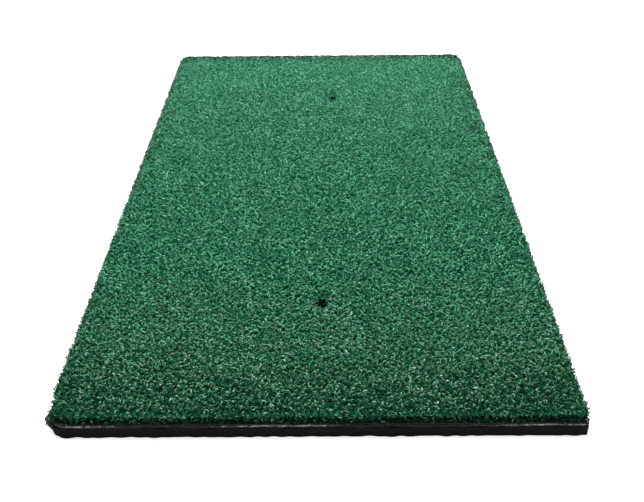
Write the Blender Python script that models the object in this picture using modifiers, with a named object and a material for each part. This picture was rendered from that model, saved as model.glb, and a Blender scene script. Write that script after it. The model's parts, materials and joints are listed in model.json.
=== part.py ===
"""Golf hitting mat: a nylon turf pile on a coated backing, glued to a sheet of black foam.

Metres, with +Z up. The origin is the middle of the underside. The mat's length runs along Y
with the front end at -Y, and its width runs along X. Two tee holes go right through.
"""

import math

import bmesh
import bpy
from mathutils import Matrix, Vector

# The cut sheet, seen from above
MAT_WIDTH = 0.305
MAT_LENGTH = 0.610
CORNER_RADIUS = 0.0015
CORNER_SEGMENTS = 4
CORNER_CUT_ACROSS = 0.009
CORNER_CUT_ALONG = 0.011

# The layers, from the underside up
LAYER_GAP = 0.0003
FOAM_THICKNESS = 0.00635
FILM_THICKNESS = 0.0002
COAT_THICKNESS = 0.0010
CLOTH_THICKNESS = 0.0004
PILE_HEIGHT = 0.0072

# Edges
FOAM_EDGE_RADIUS = 0.0004
PILE_EDGE_RADIUS = 0.0020
PILE_CORNER_RADIUS = 0.0035
PILE_EDGE_SEGMENTS = 3

# Tee holes
PUNCH_RADIUS = 0.00635
FIBRES_IN_HOLE = 0.00085
PILE_FLARE = 0.0012
FRONT_TEE_FROM_FRONT = 0.116
BACK_TEE_FROM_BACK = 0.1245
FRONT_TEE_OFF_CENTRE = 0.003
BACK_TEE_OFF_CENTRE = 0.0125
HOLE_SEGMENTS = 48
CUTTER_REACH = 0.005

FOAM_BASE = 0.0
FILM_BASE = FOAM_BASE + FOAM_THICKNESS + LAYER_GAP
COAT_BASE = FILM_BASE + FILM_THICKNESS + LAYER_GAP
CLOTH_BASE = COAT_BASE + COAT_THICKNESS + LAYER_GAP
PILE_BASE = CLOTH_BASE + CLOTH_THICKNESS + LAYER_GAP
PILE_TOP = PILE_BASE + PILE_HEIGHT

TEE_HOLES = {
    "front": Vector((FRONT_TEE_OFF_CENTRE, FRONT_TEE_FROM_FRONT - MAT_LENGTH / 2, 0)),
    "back": Vector((BACK_TEE_OFF_CENTRE, MAT_LENGTH / 2 - BACK_TEE_FROM_BACK, 0)),
}


def clear_scene():
    """Removes whatever the new file opens with."""
    for thing in list(bpy.data.objects):
        bpy.data.objects.remove(thing)


def make_collection(name):
    """A collection in the scene for a group of objects."""
    collection = bpy.data.collections.new(name)
    bpy.context.scene.collection.children.link(collection)
    return collection


def make_material(name, colour, roughness):
    """A plain material, with its colour in linear red, green and blue."""
    material = bpy.data.materials.new(name)
    material.use_nodes = True
    shader = material.node_tree.nodes["Principled BSDF"]
    shader.inputs["Base Color"].default_value = (*colour, 1.0)
    shader.inputs["Roughness"].default_value = roughness
    material.diffuse_color = (*colour, 1.0)
    return material


def corner_arc(corner, radius, start_angle):
    """The points of one rounded corner, counterclockwise, with the corner given as a point."""
    inward = Vector((math.cos(start_angle), math.sin(start_angle)))
    onward = Vector((-inward.y, inward.x))
    centre = corner - radius * (inward + onward)
    points = []
    for step in range(CORNER_SEGMENTS + 1):
        turn = math.pi / 2 * step / CORNER_SEGMENTS
        points.append(centre + radius * (math.cos(turn) * inward + math.sin(turn) * onward))
    return points


def sheet_outline(radius):
    """The sheet's outline from above: three rounded corners, and the front left one cut off."""
    right = MAT_WIDTH / 2
    back = MAT_LENGTH / 2
    outline = [
        Vector((-right, -back + CORNER_CUT_ALONG)),
        Vector((-right + CORNER_CUT_ACROSS, -back)),
    ]
    outline += corner_arc(Vector((right, -back)), radius, -math.pi / 2)
    outline += corner_arc(Vector((right, back)), radius, 0.0)
    outline += corner_arc(Vector((-right, back)), radius, math.pi / 2)
    return outline


def lay_sheet(name, base, thickness, corner_radius, material, collection):
    """A flat sheet of the mat's outline, lying with its underside at the height of base."""
    shape = bmesh.new()
    rim = [shape.verts.new((point.x, point.y, 0.0)) for point in sheet_outline(corner_radius)]
    underside = shape.faces.new(rim)
    raised = bmesh.ops.extrude_face_region(shape, geom=[underside])["geom"]
    top_verts = [part for part in raised if isinstance(part, bmesh.types.BMVert)]
    bmesh.ops.translate(shape, verts=top_verts, vec=(0, 0, thickness))
    bmesh.ops.recalc_face_normals(shape, faces=shape.faces)
    mesh = bpy.data.meshes.new(name)
    shape.to_mesh(mesh)
    shape.free()
    mesh.materials.append(material)
    sheet = bpy.data.objects.new(name, mesh)
    sheet.location.z = base
    collection.objects.link(sheet)
    return sheet


def make_cutter(name, low, high, low_radius, high_radius, collection):
    """A round cutter standing on end, which tapers if its two radii differ."""
    shape = bmesh.new()
    bmesh.ops.create_cone(
        shape,
        cap_ends=True,
        segments=HOLE_SEGMENTS,
        radius1=low_radius,
        radius2=high_radius,
        depth=high - low,
        matrix=Matrix.Translation((0, 0, (low + high) / 2)),
    )
    mesh = bpy.data.meshes.new(name)
    shape.to_mesh(mesh)
    shape.free()
    cutter = bpy.data.objects.new(name, mesh)
    cutter.display_type = "WIRE"
    cutter.hide_render = True
    collection.objects.link(cutter)
    return cutter


def cut_with(sheet, cutter):
    """Takes a cutter's shape out of a sheet."""
    cut = sheet.modifiers.new(cutter.name, "BOOLEAN")
    cut.operation = "DIFFERENCE"
    cut.solver = "EXACT"
    cut.object = cutter


def round_edges(sheet, radius, segments):
    """Rounds the sheet's square edges."""
    bevel = sheet.modifiers.new("rounded_edges", "BEVEL")
    bevel.width = radius
    bevel.segments = segments
    bevel.limit_method = "ANGLE"
    bevel.angle_limit = math.radians(50)


def round_top_edge(sheet, height, radius, segments):
    """Rounds only the outer edge of a sheet's top face."""
    shape = bmesh.new()
    shape.from_mesh(sheet.data)
    top_edges = [
        edge for edge in shape.edges
        if all(abs(vert.co.z - height) < height / 100 for vert in edge.verts)
    ]
    bmesh.ops.bevel(
        shape,
        geom=top_edges,
        offset=radius,
        segments=segments,
        profile=0.5,
        affect="EDGES",
    )
    shape.to_mesh(sheet.data)
    shape.free()


def shade_round(sheet):
    """Shades the round parts smooth and keeps the square edges sharp."""
    sheet.data.shade_smooth()
    sheet.data.set_sharp_from_angle(angle=math.radians(35))


def build_layers(parts, punches, flares):
    """The five layers, from the underside up."""
    layers = [
        ("foam_base", FOAM_BASE, FOAM_THICKNESS, (0.012, 0.012, 0.013), 0.85),
        ("adhesive_film", FILM_BASE, FILM_THICKNESS, (0.55, 0.52, 0.42), 0.45),
        ("latex_coat", COAT_BASE, COAT_THICKNESS, (0.46, 0.46, 0.43), 0.80),
        ("backing_cloth", CLOTH_BASE, CLOTH_THICKNESS, (0.05, 0.05, 0.05), 0.75),
        ("turf_pile", PILE_BASE, PILE_HEIGHT, (0.030, 0.130, 0.075), 0.60),
    ]
    for name, base, thickness, colour, roughness in layers:
        material = make_material(name, colour, roughness)
        is_pile = name == "turf_pile"
        corner_radius = PILE_CORNER_RADIUS if is_pile else CORNER_RADIUS
        sheet = lay_sheet(name, base, thickness, corner_radius, material, parts)
        if is_pile:
            round_top_edge(sheet, PILE_HEIGHT, PILE_EDGE_RADIUS, PILE_EDGE_SEGMENTS)
        for cutter in flares if is_pile else punches:
            cut_with(sheet, cutter)
        if name == "foam_base":
            round_edges(sheet, FOAM_EDGE_RADIUS, 2)
        shade_round(sheet)


def build_mat():
    """The whole mat, with its cutters kept in a collection of their own."""
    clear_scene()
    parts = make_collection("golf_hitting_mat")
    cutters = make_collection("cutters")
    pile_hole_radius = PUNCH_RADIUS - FIBRES_IN_HOLE
    low = FOAM_BASE - CUTTER_REACH
    high = PILE_TOP + CUTTER_REACH
    flare_low = PILE_TOP - PILE_FLARE
    flare_radius = pile_hole_radius + PILE_FLARE + CUTTER_REACH
    punches = []
    flares = []
    for end, place in TEE_HOLES.items():
        punch = make_cutter(f"punch_{end}", low, high, PUNCH_RADIUS, PUNCH_RADIUS, cutters)
        bore = make_cutter(f"pile_hole_{end}", low, high, pile_hole_radius, pile_hole_radius, cutters)
        flare = make_cutter(f"pile_flare_{end}", flare_low, high, pile_hole_radius, flare_radius, cutters)
        for cutter in (punch, bore, flare):
            cutter.location.xy = place.xy
        punches.append(punch)
        flares += [bore, flare]
    build_layers(parts, punches, flares)


build_mat()
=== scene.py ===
"""Looks of the golf hitting mat: crimped nylon turf on a latex-coated cloth, glued to black foam.

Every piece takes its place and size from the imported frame, in metres, with +Z up. The yarn is
modelled as a few curled lengths, which are then planted over the mat thousands of times.
"""

import json
import math

import bpy
import numpy as np
from mathutils import Matrix, Vector


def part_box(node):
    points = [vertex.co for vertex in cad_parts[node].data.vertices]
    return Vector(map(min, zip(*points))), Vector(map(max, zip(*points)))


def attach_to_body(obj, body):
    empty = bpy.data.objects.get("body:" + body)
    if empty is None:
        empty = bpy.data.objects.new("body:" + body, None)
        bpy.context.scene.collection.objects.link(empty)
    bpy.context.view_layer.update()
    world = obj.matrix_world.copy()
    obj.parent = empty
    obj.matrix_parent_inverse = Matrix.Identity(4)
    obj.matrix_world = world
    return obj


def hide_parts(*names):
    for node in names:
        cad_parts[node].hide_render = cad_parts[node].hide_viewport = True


MM = 0.001

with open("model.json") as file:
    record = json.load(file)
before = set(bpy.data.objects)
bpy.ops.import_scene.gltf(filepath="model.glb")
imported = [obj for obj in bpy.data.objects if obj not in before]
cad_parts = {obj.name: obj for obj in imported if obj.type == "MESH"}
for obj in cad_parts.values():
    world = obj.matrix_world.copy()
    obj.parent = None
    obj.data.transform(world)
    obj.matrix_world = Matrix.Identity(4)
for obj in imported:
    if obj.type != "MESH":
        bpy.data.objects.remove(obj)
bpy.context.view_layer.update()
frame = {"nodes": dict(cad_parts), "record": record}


# ---------------------------------------------------------------- sizes from the frame

def read_points(mesh):
    """A mesh's points as rows of x, y and z."""
    points = np.zeros(len(mesh.vertices) * 3)
    mesh.vertices.foreach_get("co", points)
    return points.reshape(-1, 3)


def write_points(mesh, points):
    """Puts changed points back in their mesh."""
    mesh.vertices.foreach_set("co", points.ravel())
    mesh.update()


def node_points(node):
    """A CAD node's points, as rows of x, y and z."""
    return read_points(frame["nodes"][node].data)


def tee_hole_centres():
    """The middle of each tee hole, from above."""
    centres = []
    for opening in frame["record"]["physics"]["openings"]:
        low, high = opening["box_m"]
        centres.append(((low[0] + high[0]) / 2, (low[1] + high[1]) / 2))
    return np.array(centres)


def hole_radius(node, centre):
    """How far a node's nearest point is from a hole's axis."""
    return float(np.hypot(*(node_points(node)[:, :2] - centre).T).min())


HOLES = tee_hole_centres()
PUNCH_RADIUS = hole_radius("foam_base", HOLES[0])
PILE_HOLE_RADIUS = hole_radius("turf_pile", HOLES[0])
SHEET_LOW, SHEET_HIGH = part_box("backing_cloth")
PILE_LOW, PILE_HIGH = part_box("turf_pile")
HALF_WIDTH = SHEET_HIGH.x
HALF_LENGTH = SHEET_HIGH.y
PILE_DEPTH = PILE_HIGH.z - PILE_LOW.z
TUFT_ROOT_DEPTH = 2.3 * MM
TAPE_WIDTH = 1.2 * MM
LATEX_EDGE_DEPTH = 4 * MM


def corner_cut_ends():
    """The two ends of the cut across the front left corner: on the left side, and on the front."""
    points = node_points("backing_cloth")
    on_left = points[points[:, 0] < SHEET_LOW.x + 0.01 * MM]
    on_front = points[points[:, 1] < SHEET_LOW.y + 0.01 * MM]
    return (SHEET_LOW.x, on_left[:, 1].min()), (on_front[:, 0].min(), SHEET_LOW.y)


CUT_LEFT, CUT_FRONT = corner_cut_ends()


# ---------------------------------------------------------------- camera, light and floor

CAMERA_PLACE = (6.95 * MM, -730.3 * MM, 366.5 * MM)
CAMERA_TILT_DOWN = math.radians(30.02)
CAMERA_TURN = math.radians(0.405)
CAMERA_ROLL = math.radians(-0.57)
CAMERA_LENS = 54.62
SENSOR_WIDTH = 36.0
SURROUNDINGS_LIGHT = 0.50
FLOOR_SIZE = 8.0
FLOOR_GAP = 0.02 * MM
FLOOR_GLOW = 0.62


def set_camera():
    """A camera at the near end, looking down along the mat."""
    lens = bpy.data.cameras.new("camera")
    lens.lens = CAMERA_LENS
    lens.sensor_width = SENSOR_WIDTH
    lens.clip_start = 0.01
    lens.clip_end = 20.0
    camera = bpy.data.objects.new("camera", lens)
    camera.matrix_world = (
        Matrix.Translation(CAMERA_PLACE)
        @ Matrix.Rotation(CAMERA_TURN, 4, "Z")
        @ Matrix.Rotation(math.pi / 2 - CAMERA_TILT_DOWN, 4, "X")
        @ Matrix.Rotation(CAMERA_ROLL, 4, "Z")
    )
    bpy.context.scene.collection.objects.link(camera)
    bpy.context.scene.camera = camera


def softbox(name, place, aim, width, height, power):
    """A rectangular studio light at place, turned towards aim."""
    light = bpy.data.lights.new(name, "AREA")
    light.shape = "RECTANGLE"
    light.size = width
    light.size_y = height
    light.energy = power
    lamp = bpy.data.objects.new(name, light)
    lamp.location = place
    lamp.rotation_euler = (Vector(aim) - Vector(place)).to_track_quat("-Z", "Y").to_euler()
    bpy.context.scene.collection.objects.link(lamp)


def light_studio():
    """Even white surroundings, brighter to the camera, and softboxes above and behind."""
    world = bpy.data.worlds.new("studio")
    world.use_nodes = True
    nodes, links = world.node_tree.nodes, world.node_tree.links
    surroundings = nodes["Background"]
    surroundings.inputs["Color"].default_value = (1.0, 1.0, 1.0, 1.0)
    surroundings.inputs["Strength"].default_value = SURROUNDINGS_LIGHT
    backdrop = nodes.new("ShaderNodeBackground")
    backdrop.inputs["Color"].default_value = (1.0, 1.0, 1.0, 1.0)
    seen = nodes.new("ShaderNodeLightPath")
    mix = nodes.new("ShaderNodeMixShader")
    links.new(seen.outputs["Is Camera Ray"], mix.inputs["Fac"])
    links.new(surroundings.outputs[0], mix.inputs[1])
    links.new(backdrop.outputs[0], mix.inputs[2])
    links.new(mix.outputs[0], nodes["World Output"].inputs["Surface"])
    bpy.context.scene.world = world
    softbox("top_softbox", place=(-0.35, 0.25, 1.4), aim=(0, 0, 0), width=1.0, height=1.0, power=32)
    softbox("back_softbox", place=(0.1, 0.80, 0.55), aim=(0, 0.25, 0), width=1.0, height=0.4, power=19)
    bpy.context.scene.view_settings.view_transform = "Standard"


def lay_floor(material):
    """A plain pale floor just under the mat."""
    deselect_all()
    bpy.ops.mesh.primitive_plane_add(size=FLOOR_SIZE, location=(0, 0, -FLOOR_GAP))
    floor = bpy.context.object
    floor.name = "studio_floor"
    floor.data.materials.append(material)


# ---------------------------------------------------------------- modelling helpers

def deselect_all():
    """Leaves edit mode and clears the selection."""
    if bpy.context.object and bpy.context.object.mode != "OBJECT":
        bpy.ops.object.mode_set(mode="OBJECT")
    bpy.ops.object.select_all(action="DESELECT")


def settle(piece):
    """Moves an object's place, turn and size into its mesh."""
    deselect_all()
    piece.select_set(True)
    bpy.context.view_layer.objects.active = piece
    bpy.ops.object.transform_apply(location=True, rotation=True, scale=True)


def attach(piece, node, material):
    """Ties a finished piece to the frame: it rides with the mat and stands for a CAD node."""
    piece.data.materials.clear()
    piece.data.materials.append(material)
    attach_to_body(piece, "root")
    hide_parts(node)


def select_parts(mesh, kind, wanted):
    """In edit mode, selects the vertices or edges for which wanted(part) is true."""
    bpy.ops.mesh.select_all(action="DESELECT")
    bpy.ops.object.mode_set(mode="OBJECT")
    for part in getattr(mesh, kind):
        part.select = wanted(part)
    bpy.ops.object.mode_set(mode="EDIT")


# ---------------------------------------------------------------- materials

class Graph:
    """A node tree that is written as expressions, one node a call."""

    def __init__(self, tree):
        self.tree = tree

    def add(self, kind, inputs=None, **settings):
        """A node of that kind, with its settings and with its inputs set or linked."""
        node = self.tree.nodes.new(kind)
        for name, value in settings.items():
            setattr(node, name, value)
        for name, value in (inputs or {}).items():
            self.feed(node.inputs[name], value)
        return node

    def feed(self, socket, value):
        """Links an output to a socket, or sets the socket's own value."""
        if isinstance(value, bpy.types.NodeSocket):
            self.tree.links.new(value, socket)
        else:
            socket.default_value = value

    def math(self, operation, first, second=0.0):
        """One step of arithmetic."""
        return self.add("ShaderNodeMath", {0: first, 1: second}, operation=operation).outputs[0]

    def blend(self, amount, first, second, mode="MIX"):
        """A mix of two colours."""
        node = self.add("ShaderNodeMix", data_type="RGBA", blend_type=mode)
        self.feed(node.inputs["Factor"], amount)
        self.feed(node.inputs[6], first)
        self.feed(node.inputs[7], second)
        return node.outputs[2]

    def ramp(self, value, stops):
        """A colour or grey for each value, from (place, colour) stops."""
        node = self.add("ShaderNodeValToRGB", {"Fac": value})
        band = node.color_ramp
        band.interpolation = "LINEAR"
        while len(band.elements) < len(stops):
            band.elements.new(1.0)
        for element, (place, colour) in zip(band.elements, stops):
            element.position = place
            element.color = colour if len(colour) == 4 else (*colour, 1.0)
        return node.outputs["Color"]

    def noise(self, where, scale, detail=2.0, roughness=0.5):
        """Cloudy noise, from 0 to 1."""
        sockets = {"Vector": where, "Scale": scale, "Detail": detail, "Roughness": roughness}
        return self.add("ShaderNodeTexNoise", sockets).outputs[0]


def grey(level):
    """A neutral colour."""
    return (level, level, level)


def new_material(name, roughness, **constants):
    """A material and its graph, with the shader's plain values set on the shader itself."""
    material = bpy.data.materials.new(name)
    material.use_nodes = True
    shader = material.node_tree.nodes["Principled BSDF"]
    shader.inputs["Roughness"].default_value = roughness
    for socket, value in constants.items():
        shader.inputs[socket.replace("_", " ")].default_value = value
    return material, Graph(material.node_tree), shader


def object_place(graph):
    """Where on the piece a point is, in metres."""
    return graph.add("ShaderNodeTexCoord").outputs["Object"]


def emboss(graph, shader, height, strength, depth):
    """Gives a finish its fine relief, from a height of 0 to 1."""
    bump = graph.add("ShaderNodeBump", {"Strength": strength, "Distance": depth, "Height": height})
    graph.feed(shader.inputs["Normal"], bump.outputs[0])


def levelness(graph):
    """1 where a face lies flat, and 0 where it stands upright."""
    facing = graph.add("ShaderNodeSeparateXYZ", {0: graph.add("ShaderNodeNewGeometry").outputs["Normal"]})
    return graph.math("ABSOLUTE", facing.outputs[2])


def floor_material():
    """Pale paper, lifted to white where the camera sees it, as a lit studio floor is."""
    material, graph, shader = new_material("pale_floor", 0.9, Specular_IOR_Level=0.1)
    shader.inputs["Base Color"].default_value = (0.80, 0.80, 0.80, 1)
    shader.inputs["Emission Color"].default_value = (1, 1, 1, 1)
    seen = graph.add("ShaderNodeLightPath").outputs["Is Camera Ray"]
    graph.feed(shader.inputs["Emission Strength"], graph.math("MULTIPLY", seen, FLOOR_GLOW))
    return material


GREEN_ROWS = 27
YELLOWED_ROW = 28
DUST_AND_SHADE_ROW = 30
WORN_ROW = 31
FRONT_GLOSS_AND_SHADE_ROW = 32
TONE_ROWS = 64


def yarn_tones(graph, tone):
    """The yarn's colour by its row: greens, dark to light, then odd ones, then front greens with painted
    reflection and shade.
    """
    # the dusty grey stands for dust and for painted shade on the pile's silhouette
    yellowed, dust_and_shade_grey, worn = (0.028, 0.138, 0.048), (0.075, 0.120, 0.090), (0.150, 0.235, 0.166)
    return graph.ramp(tone, [
        (0.000, (0.002, 0.070, 0.028)),
        (0.060, (0.009, 0.146, 0.066)),
        (0.150, (0.040, 0.262, 0.142)),
        (0.275, (0.095, 0.368, 0.222)),
        (0.360, (0.185, 0.490, 0.335)),
        (0.420, (0.335, 0.640, 0.510)),
        (0.435, yellowed),
        (0.455, yellowed),
        (0.465, dust_and_shade_grey),
        (0.483, dust_and_shade_grey),
        (0.486, worn),
        (0.498, worn),
        # the front's greens: whiter light tones as painted reflection, darker dark tones as painted shade
        (0.502, (0.002, 0.030, 0.014)),
        (0.560, (0.015, 0.124, 0.062)),
        (0.650, (0.071, 0.235, 0.137)),
        (0.775, (0.160, 0.335, 0.220)),
        (0.860, (0.285, 0.470, 0.335)),
        (0.920, (0.470, 0.640, 0.520)),
    ])


def yarn_material():
    """Nylon yarn. Its map runs from root to tip one way and through the tones the other."""
    material, graph, shader = new_material("green_nylon_yarn", 0.4, Specular_IOR_Level=0.12)
    shader.inputs["Specular Tint"].default_value = (0.75, 1.0, 0.88, 1.0)
    chart = graph.add("ShaderNodeUVMap", uv_map="OFBake").outputs["UV"]
    split = graph.add("ShaderNodeSeparateXYZ", {0: chart})
    length, tone = split.outputs[0], split.outputs[1]
    strand = graph.math("FRACT", graph.math("MULTIPLY", tone, float(TONE_ROWS)))
    # painted shade and highlights: the colour darkens towards the root and lightens on the crimp's crest
    # and at the tip
    depth = graph.ramp(length, [
        (0.00, (0.14, 0.26, 0.20)),
        (0.30, (0.46, 0.64, 0.56)),
        (0.52, (0.80, 0.85, 0.83)),
        (0.66, (1.20, 1.12, 1.16)),
        (0.80, (0.82, 0.86, 0.84)),
        (1.00, (1.35, 1.25, 1.30)),
    ])
    # painted highlights: lighter bands round the yarn's profile, as light along its ridges
    ridge_highlights = graph.ramp(strand, [
        (0.15, grey(0.70)),
        (0.38, grey(1.10)),
        (0.60, grey(0.78)),
        (0.85, grey(1.05)),
    ])
    colour = graph.blend(1.0, yarn_tones(graph, tone), depth, "MULTIPLY")
    graph.feed(shader.inputs["Base Color"], graph.blend(1.0, colour, ridge_highlights, "MULTIPLY"))
    twist = graph.math("ADD", graph.math("MULTIPLY", strand, 5.0), graph.math("MULTIPLY", length, 3.0))
    filaments = graph.math("PINGPONG", twist, 0.5)
    sheen = graph.ramp(filaments, [(0.0, grey(0.38)), (0.5, grey(0.27))])
    graph.feed(shader.inputs["Roughness"], sheen)
    emboss(graph, shader, filaments, strength=0.35, depth=0.0001)
    return material


def thatch_material():
    """The yarn roots between the tufts: green on top, painted shade nearly black at the cloth and on its
    sides.
    """
    material, graph, shader = new_material("yarn_roots", 0.9, Specular_IOR_Level=0.0)
    where = object_place(graph)
    tangle = graph.noise(where, 800.0, 3.0, 0.6)
    colour = graph.ramp(tangle, [
        (0.35, (0.002, 0.048, 0.021)),
        (0.65, (0.009, 0.110, 0.052)),
    ])
    # painted shade: darker down towards the cloth and on the slab's upright sides
    height = graph.add("ShaderNodeSeparateXYZ", {0: where}).outputs[2]
    rise = graph.add("ShaderNodeMapRange", {
        "Value": height, "From Min": PILE_LOW.z, "From Max": PILE_HIGH.z - TUFT_ROOT_DEPTH,
    }).outputs[0]
    rise = graph.ramp(graph.math("MULTIPLY", rise, levelness(graph)), [(0.0, grey(0.15)), (0.9, grey(1.0))])
    graph.feed(shader.inputs["Base Color"], graph.blend(1.0, colour, rise, "MULTIPLY"))
    emboss(graph, shader, tangle, strength=0.8, depth=0.001)
    return material


def new_group(name, inputs, outputs):
    """An empty node group with those inputs and outputs, and its graph."""
    tree = bpy.data.node_groups.new(name, "ShaderNodeTree")
    for socket, kind in inputs.items():
        tree.interface.new_socket(socket, in_out="INPUT", socket_type=kind)
    for socket, kind in outputs.items():
        tree.interface.new_socket(socket, in_out="OUTPUT", socket_type=kind)
    graph = Graph(tree)
    given = graph.add("NodeGroupInput").outputs
    asked = graph.add("NodeGroupOutput").inputs
    return graph, given, asked


def make_smear_group():
    """Uneven spreading, as of something brushed or rolled on: long patches, broken up finely."""
    graph, given, asked = new_group(
        "smear",
        {"Where": "NodeSocketVector", "Patch Size": "NodeSocketFloat", "Break Up": "NodeSocketFloat"},
        {"Cover": "NodeSocketFloat"},
    )
    pace = graph.math("DIVIDE", 1.0, given["Patch Size"])
    patches = graph.noise(given["Where"], pace, 3.0, 0.6)
    flecks = graph.noise(given["Where"], graph.math("MULTIPLY", pace, 9.0), 4.0, 0.7)
    broken = graph.math("MULTIPLY", graph.math("SUBTRACT", flecks, 0.5), given["Break Up"])
    graph.feed(asked["Cover"], graph.math("ADD", patches, broken))
    return graph.tree


def make_dust_group():
    """Pale lint and dust over a colour: a thin haze with scattered specks."""
    graph, given, asked = new_group(
        "dust",
        {"Where": "NodeSocketVector", "Colour": "NodeSocketColor", "Amount": "NodeSocketFloat"},
        {"Colour": "NodeSocketColor"},
    )
    haze = graph.noise(given["Where"], 70.0, 4.0, 0.6)
    specks = graph.add("ShaderNodeTexVoronoi", {"Vector": given["Where"], "Scale": 420.0}).outputs[0]
    speck = graph.ramp(specks, [(0.10, grey(1.0)), (0.20, grey(0.0))])
    cover = graph.math("MULTIPLY", haze, given["Amount"])
    cover = graph.math("ADD", cover, graph.math("MULTIPLY", speck, given["Amount"]))
    graph.feed(asked["Colour"], graph.blend(cover, given["Colour"], (0.30, 0.29, 0.27, 1.0)))
    return graph.tree


def make_grain_group():
    """Cells and pits of a given size, as a height from 0 to 1."""
    graph, given, asked = new_group(
        "grain",
        {"Where": "NodeSocketVector", "Cell Size": "NodeSocketFloat"},
        {"Height": "NodeSocketFloat"},
    )
    pace = graph.math("DIVIDE", 1.0, given["Cell Size"])
    cells = graph.add("ShaderNodeTexVoronoi", {"Vector": given["Where"], "Scale": pace}).outputs[0]
    pits = graph.noise(given["Where"], graph.math("MULTIPLY", pace, 0.35), 3.0, 0.6)
    graph.feed(asked["Height"], graph.math("MULTIPLY", cells, pits))
    return graph.tree


def use_group(graph, tree, inputs):
    """Places a node group and gives its only output."""
    node = graph.add("ShaderNodeGroup", node_tree=tree)
    for name, value in inputs.items():
        graph.feed(node.inputs[name], value)
    return node.outputs[0]


def foam_material(grain, dust):
    """Black closed-cell foam: fine cells all over, with knife marks along its cut sides."""
    material, graph, shader = new_material("black_foam", 0.88, Specular_IOR_Level=0.15)
    where = object_place(graph)
    cells = use_group(graph, grain, {"Where": where, "Cell Size": 0.00055})
    tint = graph.ramp(cells, [(0.05, (0.0020, 0.0018, 0.0017)), (0.40, (0.0072, 0.0065, 0.0060))])
    dusted = use_group(graph, dust, {"Where": where, "Colour": tint, "Amount": 0.010})
    graph.feed(shader.inputs["Base Color"], dusted)
    flat_marks = graph.add("ShaderNodeMapping", {"Vector": where, "Scale": (1.0, 1.0, 60.0)}).outputs[0]
    knife = graph.noise(flat_marks, 40.0, 2.0)
    on_side = graph.math("SUBTRACT", 1.0, levelness(graph))
    marks = graph.math("MULTIPLY", graph.math("MULTIPLY", knife, on_side), 0.6)
    height = graph.math("ADD", cells, marks)
    emboss(graph, shader, height, strength=0.5, depth=0.0004)
    graph.feed(shader.inputs["Roughness"], graph.ramp(cells, [(0.0, grey(0.95)), (0.5, grey(0.80))]))
    return material


def near_rim_mask(graph, where):
    """1 within a few millimetres of the mat's cut edges, and 0 further in and round the holes."""
    split = graph.add("ShaderNodeSeparateXYZ", {0: where})
    masks = []
    for axis, half in enumerate((HALF_WIDTH, HALF_LENGTH)):
        away = graph.math("ABSOLUTE", split.outputs[axis])
        masks.append(graph.math("GREATER_THAN", away, half - LATEX_EDGE_DEPTH))
    return graph.math("MAXIMUM", masks[0], masks[1])


def latex_material(smear, grain, dust):
    """Chalky grey latex, thick in some stretches of the cut edge and wiped thin in others."""
    material, graph, shader = new_material("latex_coat", 0.85, Specular_IOR_Level=0.2)
    where = object_place(graph)
    across = graph.add("ShaderNodeSeparateXYZ", {0: where}).outputs[0]
    share = graph.add("ShaderNodeMapRange", {
        "Value": across, "From Min": -HALF_WIDTH, "From Max": HALF_WIDTH,
    }).outputs[0]
    thickness = graph.ramp(share, [
        (0.00, grey(0.0)), (0.015, grey(0.30)), (0.03, grey(0.52)), (0.09, grey(0.62)),
        (0.14, grey(0.30)), (0.28, grey(0.30)), (0.36, grey(0.60)), (0.50, grey(0.62)),
        (0.56, grey(0.18)), (0.70, grey(0.25)), (0.80, grey(0.40)), (0.90, grey(0.52)),
        (1.00, grey(0.55)),
    ])
    cover = use_group(graph, smear, {"Where": where, "Patch Size": 0.005, "Break Up": 1.5})
    height = graph.add("ShaderNodeSeparateXYZ", {0: where}).outputs[2]
    low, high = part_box("latex_coat")
    depth = high.z - low.z
    thickest = low.z + 0.65 * depth
    off_thickest = graph.math("ABSOLUTE", graph.math("SUBTRACT", height, thickest))
    thinned = graph.math("MULTIPLY", off_thickest, 0.30 / depth)
    amount = graph.math("MULTIPLY", graph.math("SUBTRACT", cover, thinned), thickness)
    outer = graph.math("MULTIPLY", amount, near_rim_mask(graph, where))
    colour = graph.ramp(outer, [
        (0.10, grey(0.008)),
        (0.20, (0.032, 0.032, 0.029)),
        (0.25, (0.070, 0.070, 0.064)),
        (0.33, (0.450, 0.450, 0.420)),
    ])
    dusted = use_group(graph, dust, {"Where": where, "Colour": colour, "Amount": 0.03})
    graph.feed(shader.inputs["Base Color"], dusted)
    chalk = use_group(graph, grain, {"Where": where, "Cell Size": 0.0003})
    emboss(graph, shader, chalk, strength=0.6, depth=0.0002)
    return material


def film_material(smear):
    """Glue: dull and amber where it is thick, dark where the foam shows through."""
    material, graph, shader = new_material("dull_adhesive", 0.45)
    where = object_place(graph)
    cover = use_group(graph, smear, {"Where": where, "Patch Size": 0.012, "Break Up": 0.6})
    colour = graph.ramp(cover, [(0.35, (0.006, 0.006, 0.005)), (0.75, (0.060, 0.052, 0.036))])
    graph.feed(shader.inputs["Base Color"], colour)
    graph.feed(shader.inputs["Roughness"], graph.ramp(cover, [(0.3, grey(0.75)), (0.8, grey(0.35))]))
    emboss(graph, shader, cover, strength=0.4, depth=0.0002)
    return material


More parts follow.
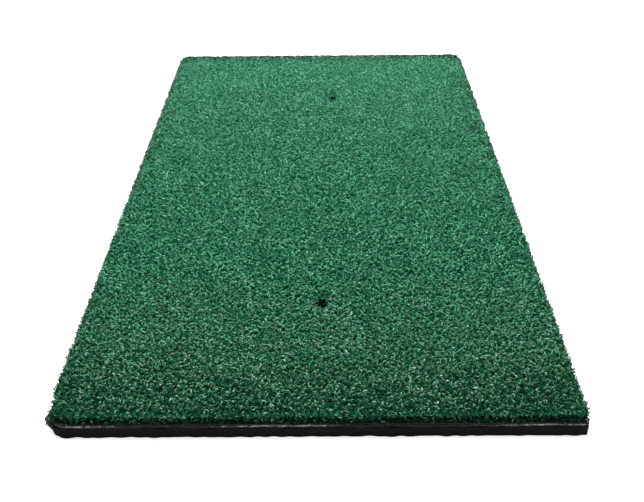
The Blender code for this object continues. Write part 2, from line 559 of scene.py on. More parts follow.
def cloth_material(dust):
    """Black woven tape backing: flat tapes one over, one under."""
    material, graph, shader = new_material("woven_backing", 0.55, Sheen_Weight=0.1)
    where = object_place(graph)
    split = graph.add("ShaderNodeSeparateXYZ", {0: where})
    tape_widths = (TAPE_WIDTH, TAPE_WIDTH * 1.6)
    waves = []
    for axis, width in enumerate(tape_widths):
        turn = graph.math("MULTIPLY", split.outputs[axis], math.pi / width)
        waves.append(graph.math("SINE", turn))
    crossing = graph.math("MULTIPLY", waves[0], waves[1])
    crown = graph.math("ABSOLUTE", crossing)
    over = graph.math("GREATER_THAN", crossing, 0.0)
    body = graph.blend(over, (0.005, 0.006, 0.005, 1), (0.010, 0.011, 0.010, 1))
    shaded = graph.blend(1.0, body, graph.ramp(crown, [(0.0, grey(0.3)), (0.5, grey(1.0))]), "MULTIPLY")
    dusted = use_group(graph, dust, {"Where": where, "Colour": shaded, "Amount": 0.02})
    graph.feed(shader.inputs["Base Color"], dusted)
    graph.feed(shader.inputs["Roughness"], graph.ramp(crown, [(0.0, grey(0.8)), (1.0, grey(0.4))]))
    emboss(graph, shader, crown, strength=0.7, depth=0.0002)
    return material


# ---------------------------------------------------------------- cut sheets

SHEET_CORNER_RADIUS = 1.5 * MM
RIM_POINT_STEP = 1.5 * MM
CORNER_SLIDE = 5.0 * MM
CORNER_SLIDE_REACH = 12 * MM
CORNER_SPREAD = 2.0 * MM
CORNER_SPREAD_REACH = 4 * MM
CORNER_BULGE = 1.8 * MM
CORNER_BULGE_REACH = 9 * MM
BULGE_SIDEWAYS = 0.77
BULGE_FORWARDS = 0.63
CORNER_RAGGEDNESS = 0.25 * MM
KNIFE_SLOW_WAVE = 18 * MM
KNIFE_QUICK_WAVE = 3.5 * MM
RIM_SHARES = (0.94, 0.97)
NOISE_WAVES = 7
PUNCH_SIDES = 48
PUNCH_OVERSHOOT = 5 * MM


def cut_sheet(name, node, shrink=0.0, wander=0.0, layers=1, seed=1, bore=0.0, corner=1.0):
    """A flat sheet of a CAD node's size, cut along its rim by hand and punched for the tees."""
    low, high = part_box(node)
    deselect_all()
    middle = ((low.x + high.x) / 2, (low.y + high.y) / 2, low.z)
    bpy.ops.mesh.primitive_plane_add(size=1.0, location=middle)
    sheet = bpy.context.object
    sheet.name = name
    sheet.scale = (high.x - low.x - 2 * shrink, high.y - low.y - 2 * shrink, 1.0)
    settle(sheet)
    mesh = sheet.data
    bpy.ops.object.mode_set(mode="EDIT")
    cut_corner(low.z, shrink)
    bpy.ops.mesh.select_all(action="SELECT")
    bpy.ops.mesh.bevel(offset=SHEET_CORNER_RADIUS, segments=3, affect="VERTICES")
    divide_rim(mesh, RIM_POINT_STEP)
    bpy.ops.mesh.select_all(action="SELECT")
    for _ in range(layers):
        rise = (0, 0, (high.z - low.z) / layers)
        bpy.ops.mesh.extrude_region_move(TRANSFORM_OT_translate={"value": rise})
    bpy.ops.mesh.select_all(action="SELECT")
    bpy.ops.mesh.normals_make_consistent(inside=False)
    bpy.ops.object.mode_set(mode="OBJECT")
    move_rim(mesh, wander, seed)
    spread_corner(mesh, corner, seed)
    for centre in HOLES:
        punch(sheet, centre, bore or PUNCH_RADIUS, low.z, high.z)
    return sheet


def cut_corner(height, shrink):
    """Cuts a flat sheet across its front left corner."""
    along_cut = Vector((CUT_FRONT[0] - CUT_LEFT[0], CUT_FRONT[1] - CUT_LEFT[1], 0)).normalized()
    outward = Vector((along_cut.y, -along_cut.x, 0))
    on_cut = Vector((*CUT_LEFT, height)) - outward * shrink
    bpy.ops.mesh.select_all(action="SELECT")
    bpy.ops.mesh.bisect(plane_co=on_cut, plane_no=outward, clear_outer=True)


def divide_rim(mesh, longest):
    """Halves the outline's edges until none is longer than that."""
    def is_long(edge):
        start, end = (mesh.vertices[corner].co for corner in edge.vertices)
        return (start - end).length > longest

    while True:
        select_parts(mesh, "edges", is_long)
        if not mesh.total_edge_sel:
            break
        bpy.ops.mesh.subdivide(number_cuts=1)


def move_rim(mesh, wander, seed):
    """Moves a rim's points in and out a little, as a knife does."""
    points = read_points(mesh)
    slow = wave_noise(points[:, 0], points[:, 1], KNIFE_SLOW_WAVE, seed)
    quick = wave_noise(points[:, 0], points[:, 1] + points[:, 2], KNIFE_QUICK_WAVE, seed + 1)
    inward = wander * (0.3 * slow + 0.45 * quick - 0.5)
    reach = np.abs(points[:, :2])
    shares = reach / reach.max(0)
    for axis, rim_share in enumerate(RIM_SHARES):
        on_rim = shares[:, axis] > rim_share
        points[:, axis] -= np.where(on_rim, np.sign(points[:, axis]) * inward, 0)
    write_points(mesh, points)


def corner_shift(x, y, rise):
    """How far the cut corner's ragged tip is drawn out at each point, along X and along Y."""
    from_corner = np.hypot(x - CUT_LEFT[0], y - CUT_LEFT[1])
    slid = np.clip(1 - from_corner / CORNER_SLIDE_REACH, 0, 1) * CORNER_SLIDE * rise
    spread = np.clip(1 - from_corner / CORNER_SPREAD_REACH, 0, 1) * CORNER_SPREAD
    middle_x, middle_y = (CUT_LEFT[0] + CUT_FRONT[0]) / 2, (CUT_LEFT[1] + CUT_FRONT[1]) / 2
    from_middle = np.hypot(x - middle_x, y - middle_y)
    bulge = np.clip(1 - from_middle / CORNER_BULGE_REACH, 0, 1) * CORNER_BULGE
    return -spread - BULGE_SIDEWAYS * bulge, -slid - BULGE_FORWARDS * bulge


def spread_corner(mesh, amount, seed):
    """Draws the cut corner out to a ragged tip, more so the higher a layer lies."""
    points = read_points(mesh)
    rise = np.clip(points[:, 2] / SHEET_HIGH.z, 0, 1)
    sideways, forwards = corner_shift(points[:, 0], points[:, 1], rise)
    waves = wave_noise(points[:, 0], points[:, 1] + points[:, 2], KNIFE_QUICK_WAVE, seed + 2)
    ragged = CORNER_RAGGEDNESS * waves
    points[:, 0] += amount * sideways
    points[:, 1] += amount * np.where(forwards < 0, forwards + ragged, 0)
    write_points(mesh, points)


def wave_noise(x, y, size, seed):
    """Smooth noise from -1 to 1, whose features are about that size."""
    draw = np.random.default_rng(seed)
    total = np.zeros_like(x)
    for _ in range(NOISE_WAVES):
        angle = draw.uniform(0, 2 * math.pi)
        pace = 2 * math.pi / (size * draw.uniform(1.2, 3.0))
        start = draw.uniform(0, 2 * math.pi)
        total += np.sin(pace * (x * math.cos(angle) + y * math.sin(angle)) + start)
    return total / 4.0


def punch(sheet, centre, radius, low, high):
    """Takes a round hole out of a sheet."""
    deselect_all()
    bpy.ops.mesh.primitive_cylinder_add(
        vertices=PUNCH_SIDES, radius=radius, depth=(high - low) + 2 * PUNCH_OVERSHOOT,
        location=(*centre, (low + high) / 2),
    )
    cutter = bpy.context.object
    cut = sheet.modifiers.new("tee_punch", "BOOLEAN")
    cut.operation = "DIFFERENCE"
    cut.solver = "EXACT"
    cut.object = cutter
    deselect_all()
    sheet.select_set(True)
    bpy.context.view_layer.objects.active = sheet
    bpy.ops.object.modifier_apply(modifier=cut.name)
    bpy.data.objects.remove(cutter)


# ---------------------------------------------------------------- yarn

YARN_WIDTH = 0.95 * MM
YARN_FLATNESS = 0.6
YARN_SIDES = 3
YARN_STEPS = 4
YARN_STEP = 1.12 * MM
YARN_TIP = 0.75 * MM
YARN_TIP_SHARE = 0.002
YARN_SHAPES = 28
WELD = 0.01 * MM
STRAND_MARGIN = 0.15
LENGTH_MARGIN = 0.004


def yarn_profile():
    """The flattened cross section that every yarn is drawn with."""
    drawn = bpy.data.curves.new("yarn_profile", "CURVE")
    spline = drawn.splines.new("POLY")
    spline.points.add(YARN_SIDES - 1)
    for side, point in enumerate(spline.points):
        turn = 2 * math.pi * side / YARN_SIDES
        point.co = (math.cos(turn) * YARN_WIDTH / 2, math.sin(turn) * YARN_WIDTH / 2 * YARN_FLATNESS, 0, 1)
    spline.use_cyclic_u = True
    profile = bpy.data.objects.new("yarn_profile", drawn)
    bpy.context.scene.collection.objects.link(profile)
    return profile


def crimped_path(draw):
    """The points of one crimped yarn end: it rises, curls to one side and lies over at its tip."""
    lean = draw.uniform(8, 40)
    lying = draw.uniform(68, 112)
    compass = draw.uniform(0, 360)
    curl = draw.choice([-1, 1]) * draw.uniform(20, 85)
    point = Vector((0, 0, 0))
    path = [point.copy()]
    for step in range(YARN_STEPS):
        share = step / (YARN_STEPS - 1)
        tilt = math.radians(lean + (lying - lean) * share ** 0.8 + draw.uniform(-14, 14))
        side = math.radians(compass)
        stride = YARN_TIP if step == YARN_STEPS - 1 else YARN_STEP
        point = point + stride * Vector(
            (math.sin(tilt) * math.cos(side), math.sin(tilt) * math.sin(side), math.cos(tilt))
        )
        path.append(point.copy())
        compass += curl * draw.uniform(0.5, 1.5)
    return path


def draw_yarn(number, profile):
    """One crimped yarn end as a closed mesh, standing at the origin."""
    draw = np.random.default_rng(100 + number)
    path = crimped_path(draw)
    drawn = bpy.data.curves.new(f"yarn_shape_{number:02d}", "CURVE")
    drawn.dimensions = "3D"
    drawn.bevel_mode = "OBJECT"
    drawn.bevel_object = profile
    drawn.use_fill_caps = True
    spline = drawn.splines.new("POLY")
    spline.points.add(len(path) - 1)
    for at, (point, place) in enumerate(zip(spline.points, path)):
        point.co = (*place, 1)
        point.tilt = draw.uniform(-0.5, 0.5) + 0.25 * at
        point.radius = 1.0 if at < len(path) - 1 else YARN_TIP_SHARE
    yarn = bpy.data.objects.new(drawn.name, drawn)
    bpy.context.scene.collection.objects.link(yarn)
    deselect_all()
    yarn.select_set(True)
    bpy.context.view_layer.objects.active = yarn
    bpy.ops.object.convert(target="MESH")
    yarn = bpy.context.object
    bpy.ops.object.mode_set(mode="EDIT")
    bpy.ops.mesh.select_all(action="SELECT")
    bpy.ops.mesh.remove_doubles(threshold=WELD)
    bpy.ops.mesh.normals_make_consistent(inside=False)
    bpy.ops.object.mode_set(mode="OBJECT")
    return yarn, np.array(path)


class YarnShape:
    """A modelled yarn as arrays, ready to be planted many times."""

    def __init__(self, yarn, path):
        mesh = yarn.data
        self.points = read_points(mesh)
        self.corners = np.zeros(len(mesh.loops), np.int32)
        mesh.loops.foreach_get("vertex_index", self.corners)
        self.face_sizes = np.zeros(len(mesh.polygons), np.int32)
        mesh.polygons.foreach_get("loop_total", self.face_sizes)
        away = np.linalg.norm(self.points[:, None] - path[None], axis=2)
        ring = away.argmin(axis=1)
        self.along = ring / (len(path) - 1)
        self.side = np.zeros(len(ring))
        for number in range(len(path)):
            members = np.flatnonzero(ring == number)
            self.side[members] = (np.arange(len(members)) + 0.5) / max(len(members), 1)
        self.height = self.points[:, 2].max()
        bpy.data.objects.remove(yarn)


def spin_matrices(turn):
    """Turns about the upright axis, one matrix for each angle."""
    matrices = np.zeros((len(turn), 3, 3))
    matrices[:, 0, 0] = matrices[:, 1, 1] = np.cos(turn)
    matrices[:, 1, 0] = np.sin(turn)
    matrices[:, 0, 1] = -matrices[:, 1, 0]
    matrices[:, 2, 2] = 1
    return matrices


def lean_matrices(towards, lean):
    """Tips about the root: towards is a compass angle and lean is the angle from upright."""
    axis = np.stack([-np.sin(towards), np.cos(towards), np.zeros_like(towards)], axis=1)
    cross = np.zeros((len(lean), 3, 3))
    cross[:, 0, 1], cross[:, 0, 2] = -axis[:, 2], axis[:, 1]
    cross[:, 1, 0], cross[:, 1, 2] = axis[:, 2], -axis[:, 0]
    cross[:, 2, 0], cross[:, 2, 1] = -axis[:, 1], axis[:, 0]
    sine, cosine = np.sin(lean)[:, None, None], np.cos(lean)[:, None, None]
    return np.eye(3) + sine * cross + (1 - cosine) * cross @ cross


def plant(name, shapes, roots, spin, towards, lean, size, tone, material):
    """Plants a yarn on every root, as one finished piece whose map holds each yarn's tone."""
    draw = np.random.default_rng(len(roots))
    kinds = draw.integers(0, len(shapes), len(roots))
    turned = lean_matrices(towards, lean) @ spin_matrices(spin) * size[:, None, None]
    points, corners, face_sizes, chart = [], [], [], []
    first = 0
    for kind, shape in enumerate(shapes):
        chosen = np.flatnonzero(kinds == kind)
        if not len(chosen):
            continue
        placed = np.einsum("nij,pj->npi", turned[chosen], shape.points) + roots[chosen][:, None]
        points.append(placed.reshape(-1, 3))
        starts = first + np.arange(len(chosen)) * len(shape.points)
        corners.append((starts[:, None] + shape.corners[None]).ravel())
        face_sizes.append(np.tile(shape.face_sizes, len(chosen)))
        strand = STRAND_MARGIN + (1 - 2 * STRAND_MARGIN) * shape.side[shape.corners]
        row = (tone[chosen][:, None] + strand[None]) / TONE_ROWS
        length = LENGTH_MARGIN + (1 - 2 * LENGTH_MARGIN) * shape.along[shape.corners]
        along = np.broadcast_to(length, row.shape)
        chart.append(np.stack([along, row], axis=2).reshape(-1, 2))
        first += len(chosen) * len(shape.points)
    parts = (np.concatenate(part) for part in (points, corners, face_sizes))
    piece = mesh_from_arrays(name, *parts)
    layer = piece.data.uv_layers.new(name="OFBake")
    layer.data.foreach_set("uv", np.concatenate(chart).astype(np.float32).ravel())
    attach(piece, "turf_pile", material)


def mesh_from_arrays(name, points, corners, face_sizes):
    """A smooth mesh object from its points and faces."""
    mesh = bpy.data.meshes.new(name)
    mesh.vertices.add(len(points))
    mesh.vertices.foreach_set("co", points.astype(np.float32).ravel())
    mesh.loops.add(len(corners))
    mesh.loops.foreach_set("vertex_index", corners.astype(np.int32))
    mesh.polygons.add(len(face_sizes))
    starts = np.concatenate([[0], np.cumsum(face_sizes)[:-1]])
    mesh.polygons.foreach_set("loop_start", starts.astype(np.int32))
    mesh.update(calc_edges=True)
    mesh.shade_smooth()
    piece = bpy.data.objects.new(name, mesh)
    bpy.context.scene.collection.objects.link(piece)
    return piece


# ---------------------------------------------------------------- turf

FIELD_PIECES = 10
YARNS_IN_PIECE = 7800
RIM_STEP = 1.0 * MM
RIM_TIER_RISE = 1.35 * MM
RIM_LOWEST = 0.6 * MM
FRONT_RADIUS = 3 * MM
BACK_RIGHT_RADIUS = 10 * MM
BACK_LEFT_RADIUS = 11 * MM
PILE_OVER_CUT = 3.2 * MM
LEFT_TAPER = 2.1 * MM
LEFT_TAPER_LENGTH = 12 * MM
FIELD_LEVEL = 0.42
# painted shade at the pile's rim
RIM_PAINTED_SHADE = 0.12
TONE_SPREAD = 0.17
PATCH_SIZE = 30 * MM
FRONT_SHADE_DEPTH = 60 * MM
BACK_SHADE_DEPTH = 22 * MM
CORNER_SHADE_REACH = 16 * MM
# the front's painted reflection and shade fade out over this depth
FRONT_GLOSS_AND_SHADE_DEPTH = 130 * MM
YELLOWED_BAND = 14 * MM
YELLOWED_PATCH_SIZE = 12 * MM
# dust and painted shade: how deep the grey yarn reaches at the back, and the front stretch with little of
# it
BACK_DUST_AND_SHADE_DEPTH = 16 * MM
FRONT_WITHOUT_DUST_AND_SHADE = 18 * MM
RIM_BAND = 3 * MM
RAISED_BACK_BAND = 6 * MM
LUMP_SIZE = 4 * MM
HANGER_STEP = 2.4 * MM
HOLE_HALF_SIZES = np.array([(5.3, 7.3), (4.3, 9.8)]) * MM
HOLE_WORN_BACK = 1.2 * MM
HOLE_WALL_YARNS = 30
HOLE_WALL_RINGS = ((2.6, 5), (3.8, 15), (5.0, 40), (5.8, 70), (6.2, 90))
FRONT_OVERHANG = 0.9 * MM
RIGHT_OVERHANG = 0.15 * MM
SHORT_SIDE = 20 * MM
THATCH_INSET = 0.9 * MM
THATCH_BELOW_ROOTS = 0.6 * MM
TAPERED_BAND = 4 * MM


def left_taper(x, y):
    """How far the pile's left side draws in towards the cut corner."""
    near_cut = np.clip(1 - (y - CUT_LEFT[1]) / LEFT_TAPER_LENGTH, 0, 1)
    return np.where(x < 0, LEFT_TAPER * near_cut, 0)


def rim_frame(x, y):
    """How far inside the pile's round-cornered outline points are, and the angle straight out."""
    back = np.where(x > 0, BACK_RIGHT_RADIUS, BACK_LEFT_RADIUS)
    radius = np.where(y > 0, back, FRONT_RADIUS)
    past_x = np.abs(x) - (HALF_WIDTH - radius - left_taper(x, y))
    past_y = np.abs(y) - (HALF_LENGTH - radius)
    corner = np.hypot(np.maximum(past_x, 0), np.maximum(past_y, 0))
    room = radius - corner - np.minimum(np.maximum(past_x, past_y), 0)
    side_on = np.where(past_x > past_y, 1.0, 0.0)
    fan_x = np.where(corner > 0, np.maximum(past_x, 0), side_on)
    fan_y = np.where(corner > 0, np.maximum(past_y, 0), 1 - side_on)
    return room, np.arctan2(fan_y * np.sign(y), fan_x * np.sign(x))


def inside_pile(x, y, margin):
    """How far inside the pile's outline each point is, less the margin."""
    along = np.array(CUT_FRONT) - np.array(CUT_LEFT)
    along = along / np.linalg.norm(along)
    from_cut = (x - CUT_LEFT[0]) * -along[1] + (y - CUT_LEFT[1]) * along[0] + PILE_OVER_CUT
    room, _ = rim_frame(x, y)
    return np.minimum(room, from_cut) - margin


def from_hole(x, y):
    """Each point's place from the nearest tee hole, as shares of the worn opening's half size."""
    gaps = [np.hypot(x - cx, y - cy) for cx, cy in HOLES]
    nearest = np.argmin(gaps, axis=0)
    across = (x - HOLES[nearest, 0]) / HOLE_HALF_SIZES[nearest, 0]
    along = (y - HOLES[nearest, 1] - HOLE_WORN_BACK) / HOLE_HALF_SIZES[nearest, 1]
    return across, along


def yellowed_patches(x, y):
    """Where, near the long sides, the pile has yellowed."""
    near_side = HALF_WIDTH - np.abs(x) < YELLOWED_BAND
    return near_side & (wave_noise(x, y, YELLOWED_PATCH_SIZE, 21) > 0.35)


def dust_and_shade_share(x, y):
    """The share of yarns given the grey of dust and painted shade: some round the rim, and most at the back
    edge.
    """
    rim_share = np.where(y > 0, 0.60, 0.35)
    rim_share = np.where(y < FRONT_WITHOUT_DUST_AND_SHADE - HALF_LENGTH, 0.10, rim_share)
    on_rim = inside_pile(x, y, 0.0) < np.where(y > 0, 3.2, 2.0) * MM
    back_share = 0.75 * np.clip(1 - (HALF_LENGTH - y) / BACK_DUST_AND_SHADE_DEPTH, 0, 1)
    return np.maximum(rim_share * on_rim, back_share)


def scuffed_places(x, y):
    """Where a foot or a club has worn the pile, at two corners of each tee hole."""
    across, along = from_hole(x, y)
    return (np.hypot(across, along) < 1.55) & (across * along > 0.15)


def pick_tones(draw, x, y, level, crumbs=0.0):
    """A tone row for each yarn: random greens round a level, in slow patches, with painted shade and
    reflection, and odd ones.
    """
    front = np.clip(1 - (y + HALF_LENGTH) / FRONT_SHADE_DEPTH, 0, 1)
    back = np.clip(1 - (HALF_LENGTH - y) / BACK_SHADE_DEPTH, 0, 1)
    corner = np.clip(1 - np.hypot(x - CUT_LEFT[0], y - CUT_FRONT[1]) / CORNER_SHADE_REACH, 0, 1)
    spread = TONE_SPREAD + 0.145 * front - 0.09 * np.clip(y / HALF_LENGTH, 0, 1)
    # painted shade: the level drops towards the front end, the back edge and the cut corner
    shade = 0.25 * front + 0.28 * back + 0.55 * corner
    level = level + 0.05 * wave_noise(x, y, PATCH_SIZE, 11) - shade
    green = np.clip(level + spread * draw.normal(0.0, 1.0, len(x)), 0.0, 0.999)
    rows = np.floor(green * GREEN_ROWS).astype(int)
    chance = draw.uniform(0, 1, len(x))
    # painted reflection and shade: near the front end, yarns take the front's greens
    gloss_and_shade_chance = 1.25 - (y + HALF_LENGTH) / FRONT_GLOSS_AND_SHADE_DEPTH
    rows = rows + np.where(draw.uniform(0, 1, len(x)) < gloss_and_shade_chance, FRONT_GLOSS_AND_SHADE_ROW, 0)
    rows = np.where(yellowed_patches(x, y) & (chance < 0.60), YELLOWED_ROW, rows)
    # dust and painted shade: grey yarn round the rim and along the back edge
    rows = np.where(chance > 1 - dust_and_shade_share(x, y), DUST_AND_SHADE_ROW, rows)
    scuffed = scuffed_places(x, y) & (chance > 0.60)
    return np.where(scuffed | (draw.uniform(0, 1, len(x)) < crumbs), WORN_ROW, rows)


def at_raised_back(y):
    """Whether each place is in the band at the back where the pile stands taller."""
    return y > HALF_LENGTH - RAISED_BACK_BAND


def field_roots(draw, low_y, high_y, count):
    """Evenly scattered root places over one strip of the mat."""
    area = 2 * HALF_WIDTH * (high_y - low_y)
    step = math.sqrt(area / count)
    xs = np.arange(-HALF_WIDTH + step / 2, HALF_WIDTH, step)
    ys = np.arange(low_y + step / 2, high_y, step)
    x, y = (grid.ravel() for grid in np.meshgrid(xs, ys))
    x = x + draw.uniform(-0.5, 0.5, len(x)) * step
    y = y + draw.uniform(-0.5, 0.5, len(y)) * step
    keep = (inside_pile(x, y, 1.0 * MM) > 0) & (np.hypot(*from_hole(x, y)) > 1.0)
    return x[keep], y[keep]


def plant_field(shapes, material):
    """The turf's top: strips of yarn from the front end to the back.

    Yarns lean outwards at the rim, and stand lower there but taller at the back. Beside a tee hole
    they lean in across it, before and behind it they lean away, and its near side is trodden down.
    """
    edges = np.linspace(-HALF_LENGTH, HALF_LENGTH, FIELD_PIECES + 1)
    for strip in range(FIELD_PIECES):
        draw = np.random.default_rng(500 + strip)
        x, y = field_roots(draw, edges[strip], edges[strip + 1], YARNS_IN_PIECE)
        count = len(x)
        rim = np.clip(1 - inside_pile(x, y, 1.0 * MM) / RIM_BAND, 0, 1)
        across, along = from_hole(x, y)
        lip = np.clip(1 - (np.hypot(across, along) - 1) / 0.6, 0, 1)
        trodden = np.clip(1 - np.hypot(across, (along + 1.0)) / 1.2, 0, 1)
        lean = np.radians(draw.uniform(0, 24, count) + 16 * rim + 14 * lip)
        towards = np.where(
            rim > 0.05,
            rim_frame(x, y)[1] + draw.normal(0, 0.6, count),
            draw.uniform(0, 2 * math.pi, count),
        )
        round_hole = np.arctan2(along, -across) + draw.normal(0, 0.5, count)
        towards = np.where(lip > 0.05, round_hole, towards)
        at_back = at_raised_back(y)
        lumps = np.where(at_back, 0.3, 0.7) * wave_noise(x, y, LUMP_SIZE, 31) * rim
        dip = np.where(at_back, -0.8, 0.9) * rim
        drop = (draw.uniform(-0.3, 0.9, count) + dip + lumps + lip * 0.5) * MM
        drop = drop + trodden * np.where(y > 0, 2.6, 1.5) * MM
        roots = np.stack([x, y, PILE_HIGH.z - TUFT_ROOT_DEPTH - drop], axis=1)
        plant(
            f"turf_strip_{strip + 1:02d}", shapes, roots,
            spin=draw.uniform(0, 2 * math.pi, count), towards=towards, lean=lean,
            size=draw.uniform(0.80, 1.15, count) * (1 - 0.22 * rim - 0.2 * lip),
            # painted shade: the rim's yarn takes darker tones
            tone=pick_tones(draw, x, y, FIELD_LEVEL - RIM_PAINTED_SHADE * rim), material=material,
        )


def rim_points(step):
    """Points round the outline, closer on the cut corner and the back, and the angle out of each."""
    corners = [
        CUT_LEFT,
        CUT_FRONT,
        (HALF_WIDTH, -HALF_LENGTH),
        (HALF_WIDTH, HALF_LENGTH),
        (-HALF_WIDTH, HALF_LENGTH),
    ]
    places, angles = [], []
    for start, end in zip(corners, corners[1:] + corners[:1]):
        start, end = np.array(start), np.array(end)
        length = np.linalg.norm(end - start)
        pace = step
        if length < SHORT_SIDE:
            pace = step / 2
        elif min(start[1], end[1]) > 0:
            pace = step / 3
        share = (np.arange(int(length / pace)) + 0.5) * pace / length
        places.append(start + share[:, None] * (end - start))
        angles.append(np.full(len(share), math.atan2(*(end - start)[::-1]) - math.pi / 2))
    return np.concatenate(places), np.concatenate(angles)


def plant_rim_tier(name, shapes, material, seed, step, inset, height, lean, size, level, crumbs=0.0,
                   sides="all"):
    """One tier of yarn round all of the pile or some of its sides, leaning outwards."""
    draw = np.random.default_rng(seed)
    places, facing = rim_points(step)
    count = len(places)
    along = draw.normal(0, 0.5 * step, count)
    x = places[:, 0] - np.cos(facing) * 0.1 * MM - np.sin(facing) * along
    y = places[:, 1] - np.sin(facing) * 0.1 * MM + np.cos(facing) * along
    room, outward = rim_frame(x, y)
    on_cut = (x < CUT_FRONT[0]) & (y < CUT_LEFT[1])
    outward = np.where(on_cut, facing, outward)
    lumps = wave_noise(x, y, LUMP_SIZE, 32) * MM
    at_front = (y < 2 * MM - HALF_LENGTH) & (x < HALF_WIDTH - 4 * MM)
    overhang = np.where(at_front, FRONT_OVERHANG, np.where(x > 0, RIGHT_OVERHANG, 0))
    pull = inset - overhang + draw.uniform(-0.3, 0.3, count) * MM + 0.5 * lumps
    pull = pull - np.where(on_cut, PILE_OVER_CUT, room)
    x, y = x - np.cos(outward) * pull, y - np.sin(outward) * pull
    at_back = at_raised_back(y)
    raised = np.where(at_back, 1.2 * MM - 0.2 * lumps, -0.4 * lumps)
    z = PILE_LOW.z + height + raised + draw.uniform(-0.5, 0.5, count) * MM
    kept = inside_pile(x, y, 0.1 * MM) > 0
    if sides == "cut":
        kept = kept & on_cut
    elif sides == "back":
        kept = kept & at_back
    elif sides == "all but right":
        kept = kept & (np.cos(outward) < 0.7)
    low_down = np.clip(1.1 - height / (4.0 * MM), 0, 1)
    sideways, forwards = corner_shift(x, y, 0.75)
    x, y = x + low_down * sideways, y + low_down * forwards
    x, y, z, outward, at_back = x[kept], y[kept], z[kept], outward[kept], at_back[kept]
    count = len(x)
    tilt = np.radians(draw.uniform(*lean, count)) * np.where(at_back, 0.5, 1.0)
    plant(
        name, shapes, np.stack([x, y, z], axis=1),
        spin=draw.uniform(0, 2 * math.pi, count), towards=outward + draw.normal(0, 0.4, count),
        lean=tilt, size=draw.uniform(*size, count),
        tone=pick_tones(draw, x, y, level, crumbs), material=material,
    )


def plant_rim(shapes, material):
    """The pile's sides, in tiers that grow lighter upwards as painted shade, then a few places of their
    own.
    """
    tiers = (
        # name, inset in mm, lean in degrees and tone level, which drops downwards as painted shade
        ("lowest", 1.6, (35, 75), 0.08),
        ("low", 1.6, (30, 62), 0.17),
        ("middle", 1.5, (22, 50), 0.25),
        ("upper", 1.2, (15, 42), 0.34),
    )
    for number, (name, inset, lean, level) in enumerate(tiers):
        plant_rim_tier(
            f"turf_rim_{name}", shapes, material, seed=900 + number, step=RIM_STEP, inset=inset * MM,
            height=RIM_LOWEST + number * RIM_TIER_RISE, lean=lean, size=(0.58, 0.88), level=level,
        )
    plant_rim_tier(
        "turf_back_fringe", shapes, material, seed=905, step=RIM_STEP, inset=2.4 * MM,
        height=RIM_LOWEST + 2.9 * RIM_TIER_RISE, lean=(5, 50), size=(0.58, 0.82), level=0.34, sides="back",
    )
    # painted shade: the hanging strands take darker tones
    plant_rim_tier(
        "turf_hanging_strands", shapes, material, seed=910, step=HANGER_STEP, inset=0.6 * MM,
        height=1.0 * MM, lean=(85, 120), size=(0.35, 0.62), level=0.22, crumbs=0.14, sides="all but right",
    )
    # painted shade: the corner tuft takes dark tones
    plant_rim_tier(
        "turf_corner_tuft", shapes, material, seed=920, step=0.6 * MM, inset=0.3 * MM,
        height=0.5 * MM, lean=(45, 100), size=(0.55, 0.85), level=0.16, sides="cut",
    )


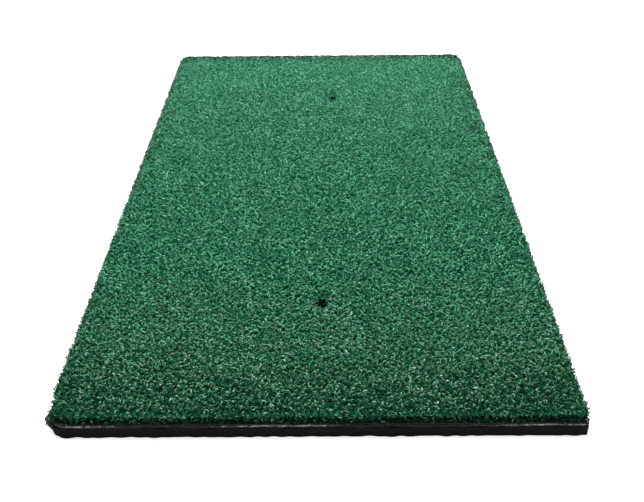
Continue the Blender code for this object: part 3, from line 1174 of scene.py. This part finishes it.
def plant_hole_walls(shapes, material):
    """The yarn that lines each tee hole, in rings with a depth in mm and a least lean."""
    draw = np.random.default_rng(950)
    places, tips, leans = [], [], []
    for centre_x, centre_y in HOLES:
        for depth, low_lean in HOLE_WALL_RINGS:
            turn = 2 * math.pi * (np.arange(HOLE_WALL_YARNS) + draw.uniform(0, 1)) / HOLE_WALL_YARNS
            radius = PILE_HOLE_RADIUS + draw.uniform(0.4, 1.2, HOLE_WALL_YARNS) * MM
            x = centre_x + radius * np.cos(turn)
            y = centre_y + radius * np.sin(turn)
            z = np.full(HOLE_WALL_YARNS, PILE_HIGH.z - depth * MM - 0.6 * MM)
            places.append(np.stack([x, y, z], axis=1))
            tips.append(turn + math.pi + draw.normal(0, 0.5, HOLE_WALL_YARNS))
            leans.append(np.radians(low_lean + draw.uniform(0, 35, HOLE_WALL_YARNS)))
    roots = np.concatenate(places)
    count = len(roots)
    # painted shade: the holes' yarn takes dark green rows, the front hole's from the front greens
    tones = draw.integers(2, 12, count) + np.where(roots[:, 1] < 0, FRONT_GLOSS_AND_SHADE_ROW, 3)
    plant(
        "turf_hole_walls", shapes, roots, spin=draw.uniform(0, 2 * math.pi, count),
        towards=np.concatenate(tips), lean=np.concatenate(leans),
        size=draw.uniform(0.55, 0.85, count), tone=tones, material=material,
    )


def lay_thatch(material):
    """The tangle of yarn roots: a rough slab that fills the lower part of the pile."""
    thatch = cut_sheet(
        "yarn_roots", "turf_pile", shrink=THATCH_INSET, bore=PILE_HOLE_RADIUS + THATCH_INSET, corner=0.7,
    )
    points = read_points(thatch.data)
    on_left = points[:, 0] < TAPERED_BAND - HALF_WIDTH
    points[:, 0] += np.where(on_left, left_taper(points[:, 0], points[:, 1]), 0)
    upper = points[:, 2] > PILE_LOW.z + PILE_DEPTH / 2
    top = PILE_HIGH.z - TUFT_ROOT_DEPTH - THATCH_BELOW_ROOTS
    points[:, 2] = np.where(upper, top, points[:, 2])
    write_points(thatch.data, points)
    attach(thatch, "turf_pile", material)


# ---------------------------------------------------------------- the mat

def build_layers():
    """Foam, glue, latex and cloth, from the floor up."""
    smear, grain, dust = make_smear_group(), make_grain_group(), make_dust_group()
    foam = cut_sheet("foam_sheet", "foam_base", wander=0.8 * MM, layers=3, seed=3)
    attach(foam, "foam_base", foam_material(grain, dust))
    film = cut_sheet("glue_layer", "adhesive_film", shrink=0.1 * MM, wander=0.5 * MM, seed=5)
    attach(film, "adhesive_film", film_material(smear))
    coat = cut_sheet("latex_layer", "latex_coat", wander=0.5 * MM, layers=2, seed=7)
    attach(coat, "latex_coat", latex_material(smear, grain, dust))
    cloth = cut_sheet("backing_weave", "backing_cloth", shrink=0.1 * MM, wander=0.3 * MM, seed=9)
    attach(cloth, "backing_cloth", cloth_material(dust))


def build_turf():
    """The crimped nylon pile."""
    profile = yarn_profile()
    shapes = [YarnShape(*draw_yarn(number, profile)) for number in range(YARN_SHAPES)]
    bpy.data.objects.remove(profile)
    material = yarn_material()
    lay_thatch(thatch_material())
    plant_field(shapes, material)
    plant_rim(shapes, material)
    plant_hole_walls(shapes, material)


set_camera()
light_studio()
lay_floor(floor_material())
build_layers()
build_turf()
